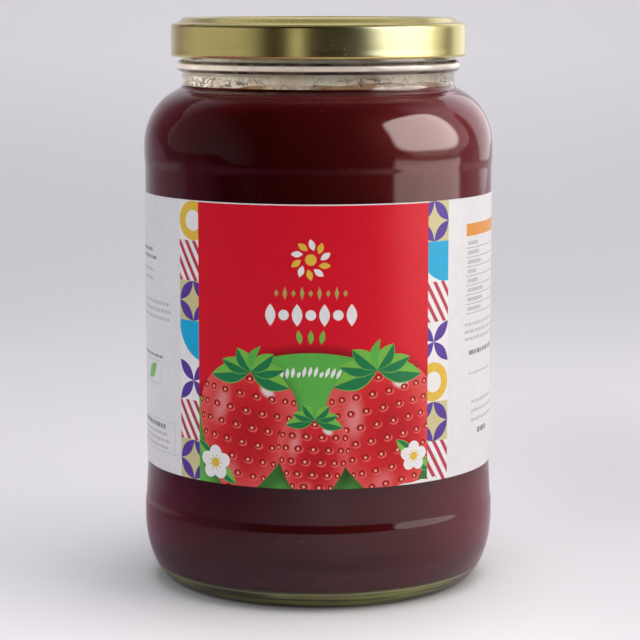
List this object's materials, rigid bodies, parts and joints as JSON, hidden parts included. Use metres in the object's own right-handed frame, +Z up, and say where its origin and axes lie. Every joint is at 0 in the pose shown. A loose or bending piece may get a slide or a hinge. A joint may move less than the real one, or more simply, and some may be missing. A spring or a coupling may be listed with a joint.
{
  "type": "jam jar",
  "caption": "Large round glass jar filled with dark red jam, shut with a gold twist-off lid and wrapped in a printed paper label, for storing preserves.",
  "frame": {"origin": "centre of the jar's foot, on the surface it stands on", "axes": "+Z up along the jar's axis, the middle of the label's front faces -Y"},
  "size_m": [0.123, 0.123, 0.1969],
  "materials": {
    "glass": "clear flint glass, faintly green where it is thick",
    "lid_gold": "gold lacquer over tinplate, satin to glossy",
    "jam": "set jam, dark and wet against the glass",
    "label_paper": "coated white paper printed with fields of colour"
  },
  "bodies": {
    "root": {"glass_jar": "glass", "lid": "lid_gold", "jam": "jam", "label": "label_paper"}
  },
  "joints": []
}
